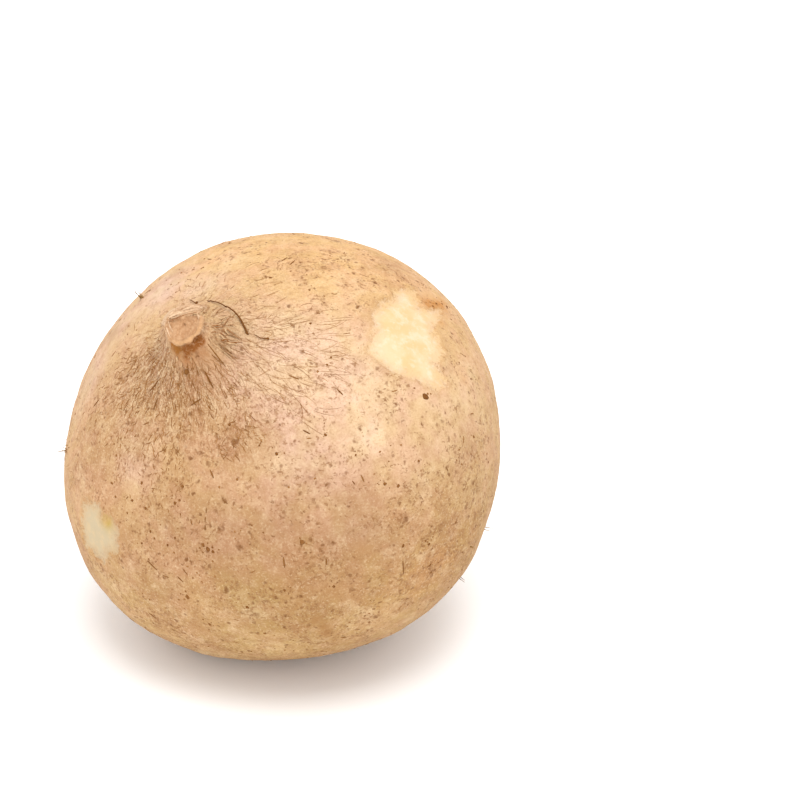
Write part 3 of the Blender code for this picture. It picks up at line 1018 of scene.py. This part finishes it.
def skin_material():
    """Dry tan skin with fibres, freckles, stains and some painted light and shade, and the bare flesh and
    cut face that it leaves open.
    """
    g = Graph("jicama_skin_look")
    place = g.scaled(g.node("ShaderNodeTexCoord").outputs["Object"], 1000.0)
    drift = g.vector("SUBTRACT", g.noise(place, 0.8, 3.0, 0.5, "Color"), (0.5, 0.5, 0.5))
    wavy = g.vector("ADD", place, g.scaled(drift, 1.6))
    grain = g.vector("ADD", g.field("grain", vector=True), g.scaled(drift, 2.2))

    blotch = g.noise(place, 0.085, 4.0, 0.6)
    hue = g.noise(g.vector("ADD", place, (40.0, 0.0, 0.0)), 0.15, 2.0, 0.5)
    cluster = g.noise(g.vector("ADD", place, (0.0, 70.0, 0.0)), 0.13)
    mottle = g.noise(place, 0.42, 4.0, 0.62)
    freckle = g.noise(wavy, 0.95, 3.0, 0.6)
    fine = g.noise(place, 1.7, 3.0, 0.68)
    coarse_streak = streaks(g, place, grain, 1.25, 0.80, 5)
    fine_streak = streaks(g, place, grain, 2.6, 0.42, 5)
    ring = g.field("ring")
    scurf = g.field("scurf")
    crown = g.span(ring, 44.0, 7.0)
    calm = g.math("SUBTRACT", 1.0, g.field("calm"))
    streaky = g.times(g.math("MAXIMUM", g.times(crown, 0.52), g.times(scurf, crown, 1.15)), calm)
    clump = g.times(g.plus(g.span(cluster, 0.34, 0.66), g.times(scurf, 0.30)), calm)

    colour = g.field("tint", vector=True)
    colour = g.mix(1.0, colour, g.mix(g.span(hue, 0.36, 0.64), GREENER, PINKER), "MULTIPLY")
    low_skin = g.times(scurf, g.math("SUBTRACT", 1.0, crown))
    smudged = g.noise(g.vector("ADD", place, (0.0, 0.0, 50.0)), 0.22, 4.0, 0.62)
    rough_share = g.times(g.math("MULTIPLY_ADD", scurf, 0.45, 0.34), calm)
    # noise, where its layer starts to show, where it shows fully, strength, colour
    for noise, start, full, strength, layer in (
        (blotch, 0.52, 0.72, (0.35,), BROWN),
        (blotch, 0.48, 0.30, (0.22,), PALE),
        (smudged, 0.48, 0.66, (low_skin, 0.85), BROWN),
        (smudged, 0.48, 0.32, (low_skin, 0.40), PALE),
        (mottle, 0.48, 0.70, (0.34,), BROWN),
        (mottle, 0.50, 0.28, (0.22,), PALE),
        (fine, 0.50, 0.72, (rough_share,), BROWN),
        (fine, 0.48, 0.28, (rough_share, 0.75), PALE),
        (coarse_streak, 0.50, 0.60, (streaky, 0.75), BROWN),
        (coarse_streak, 0.50, 0.42, (streaky, 0.55), PALE),
        (fine_streak, 0.51, 0.60, (streaky, 0.75), DARK_BROWN),
        (fine_streak, 0.49, 0.41, (streaky, 0.45), PALE),
    ):
        colour = g.mix(g.times(g.span(noise, start, full), *strength), colour, layer)

    # freckles gather in clumps
    limit = g.math("MULTIPLY_ADD", clump, -0.14, 0.67)
    freckles = g.span(g.math("SUBTRACT", freckle, limit), 0.0, 0.09)
    colour = g.mix(g.times(freckles, 0.62), colour, FRECKLE)
    height = g.plus(
        g.math("MULTIPLY", mottle, 0.40),
        g.math("MULTIPLY", fine, 0.40),
        g.times(coarse_streak, streaky, -3.0),
        g.times(fine_streak, streaky, -2.2),
        g.times(freckles, -0.10),
    )

    # stains, with the painted shadow under the stub's lip, lie over all that, broken up where the skin is
    # worn
    worn = g.math("MAXIMUM", g.span(fine, 0.46, 0.64), g.span(coarse_streak, 0.53, 0.60))
    stained = g.times(g.field("stained"), g.math("MULTIPLY_ADD", worn, -0.55, 1.1))
    colour = g.mix(g.math("MINIMUM", stained, 1.0), colour, g.field("stain", vector=True))
    for cell, size, share, seed, strength, depth in SPOT_LAYERS:
        mask = spots(g, wavy, cell, size, g.math("MULTIPLY", clump, share), seed)
        colour = g.mix(g.times(mask, strength), colour, SPOT)
        height = g.math("SUBTRACT", height, g.times(mask, depth))

    # bare flesh where the skin is scraped off
    torn = g.plus(g.math("MULTIPLY_ADD", g.noise(place, 0.55, 4.0, 0.65), 4.4, -2.2),
                  g.math("MULTIPLY_ADD", g.noise(place, 2.2, 3.0, 0.65), 2.2, -1.1))
    flesh = g.mix(g.span(g.noise(place, 0.14, 3.0), 0.36, 0.64), FLESH, FLESH_YELLOW)
    flesh = g.mix(g.span(mottle, 0.44, 0.68, 0.0, 0.6), flesh, FLESH_WHITE)
    thin_flesh = g.mix(g.field("small_patch_tone"), GREY_FLESH, YELLOW_FLESH)
    thin_flesh = g.mix(g.span(mottle, 0.46, 0.66, 0.0, 0.3), thin_flesh, FLESH_YELLOW)
    colour, bare = bare_patch(g, g.plus(g.field("big_patch"), torn), colour, flesh)
    colour, thin = bare_patch(g, g.plus(g.field("small_patch"), torn), colour, thin_flesh)
    bare = g.math("MAXIMUM", bare, thin)
    height = g.math("SUBTRACT", height, g.times(bare, g.math("SUBTRACT", height, 0.25)))

    # cut face of the stub
    cut = g.span(g.plus(g.field("cut"), g.math("MULTIPLY_ADD", fine, 1.8, -0.9)), -0.5, 0.5)
    pith = g.noise(place, 0.9, 3.0, 0.6)
    cut_colour = g.mix(g.span(pith, 0.36, 0.64), CUT_DARK, CUT_LIGHT)
    lip = g.times(g.span(g.field("cut"), 1.5, 0.4), g.field("lip"))
    cut_colour = g.mix(g.times(lip, 0.85), cut_colour, CUT_RIM)
    cut_colour = g.mix(g.span(fine, 0.52, 0.70, 0.0, 0.4), cut_colour, BROWN)
    colour = g.mix(cut, colour, cut_colour)

    rough = g.math("MULTIPLY_ADD", fine, 0.25, 0.58)
    rough = g.math("SUBTRACT", rough, g.times(bare, 0.16))
    return g.surface(colour, rough, 0.22, height, 0.75, 0.0005)


def tone_material(name, dark, light):
    """Dry fibre or cork between two colours, picked by each shape's own tone and broken up by noise."""
    g = Graph(name)
    place = g.scaled(g.node("ShaderNodeTexCoord").outputs["Object"], 1000.0)
    fleck = g.noise(place, 2.4, 3.0, 0.6)
    share = g.plus(g.times(g.field("tone"), 0.75), g.math("MULTIPLY_ADD", fleck, 1.2, -0.5))
    colour = g.mix(g.math("MINIMUM", g.math("MAXIMUM", share, 0.0), 1.0), srgb(*dark), srgb(*light))
    return g.surface(colour, g.math("MULTIPLY_ADD", fleck, 0.3, 0.55), 0.10, fleck, 0.5, 0.0002)


# -------- stage, light and camera
VIEW_HEIGHT = math.radians(27.0)      # camera above the horizon
DISTANCE = 0.5884                     # from the camera to the tuber's middle
LENS = 99.0                           # focal length in millimetres
ASIDE = 0.0305                        # how far the view's middle lies right of the tuber's
ABOVE = 0.0134                        # and how far above it
KEY_LIGHT = ((0.25, -0.6, 3.0), (0, 0, 0.05), 1.8, 57.0)
FILL_LIGHT = ((-1.3, -2.2, 0.5), (0, 0, 0.03), 1.3, 18.0)


def soft_light(name, location, target, size, power):
    """Square area light aimed at a point, with its size in metres and its power in watts."""
    lamp = bpy.data.lights.new(name, "AREA")
    lamp.shape = "SQUARE"
    lamp.size = size
    lamp.energy = power
    thing = add_object(name, lamp)
    thing.location = location
    thing.rotation_euler = (Vector(target) - thing.location).to_track_quat("-Z", "Y").to_euler()


def make_stage():
    """White floor and even white surroundings."""
    half = 3.0
    corners = [(-half, -half, 0), (half, -half, 0), (half, half, 0), (-half, half, 0)]
    mesh = smooth_mesh("floor", corners, [(0, 1, 2, 3)])
    floor = add_object("floor", mesh)
    floor.location.z = -0.0001
    g = Graph("floor_white")
    grain = g.noise(g.node("ShaderNodeTexCoord").outputs["Object"], 6.0, 3.0)
    g.put(g.shader.inputs["Base Color"], g.mix(grain, (0.90, 0.90, 0.90, 1), (0.93, 0.93, 0.93, 1)))
    g.put(g.shader.inputs["Roughness"], g.math("MULTIPLY_ADD", grain, 0.1, 0.8))
    mesh.materials.append(g.material)
    world = bpy.data.worlds.new("studio")
    bpy.context.scene.world = world
    world.use_nodes = True
    backdrop = world.node_tree.nodes["Background"]
    backdrop.inputs["Color"].default_value = (1.0, 1.0, 1.0, 1.0)
    backdrop.inputs["Strength"].default_value = 1.20


def make_camera(centre):
    """Camera at the photograph's viewing angle and framing."""
    right = Vector((1.0, 0.0, 0.0))
    up = Vector((0.0, math.sin(VIEW_HEIGHT), math.cos(VIEW_HEIGHT)))
    toward = Vector((0.0, -math.cos(VIEW_HEIGHT), math.sin(VIEW_HEIGHT)))
    data = bpy.data.cameras.new("camera")
    data.sensor_width = 36.0
    data.lens = LENS
    camera = add_object("camera", data)
    camera.location = Vector(centre) + right * ASIDE + up * ABOVE + toward * DISTANCE
    camera.rotation_euler = (math.pi / 2 - VIEW_HEIGHT, 0.0, 0.0)
    bpy.context.scene.camera = camera


def build():
    """Make the tuber, its fine pieces, the stage, the lights and the camera."""
    tuber = Tuber()
    paint(tuber)
    wrinkle(tuber)
    tuber.rest()
    body = add_piece("tuber_body", body_mesh(tuber), skin_material())
    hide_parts("jicama")
    skin = Skin(tuber)
    rng = random.Random(SEED)
    crown_fibres(skin, rng)
    dark_dashes(skin, rng)
    corky_spots(skin, rng)
    rootlets(skin, rng)
    stray_hairs(skin, rng)
    bark_shards(skin, rng)
    papery_strips_and_shade_line(tuber, rng)
    make_stage()
    soft_light("key", *KEY_LIGHT)
    soft_light("fill", *FILL_LIGHT)
    make_camera(tuber.centre)
    bpy.context.scene.view_settings.view_transform = "Standard"


build()
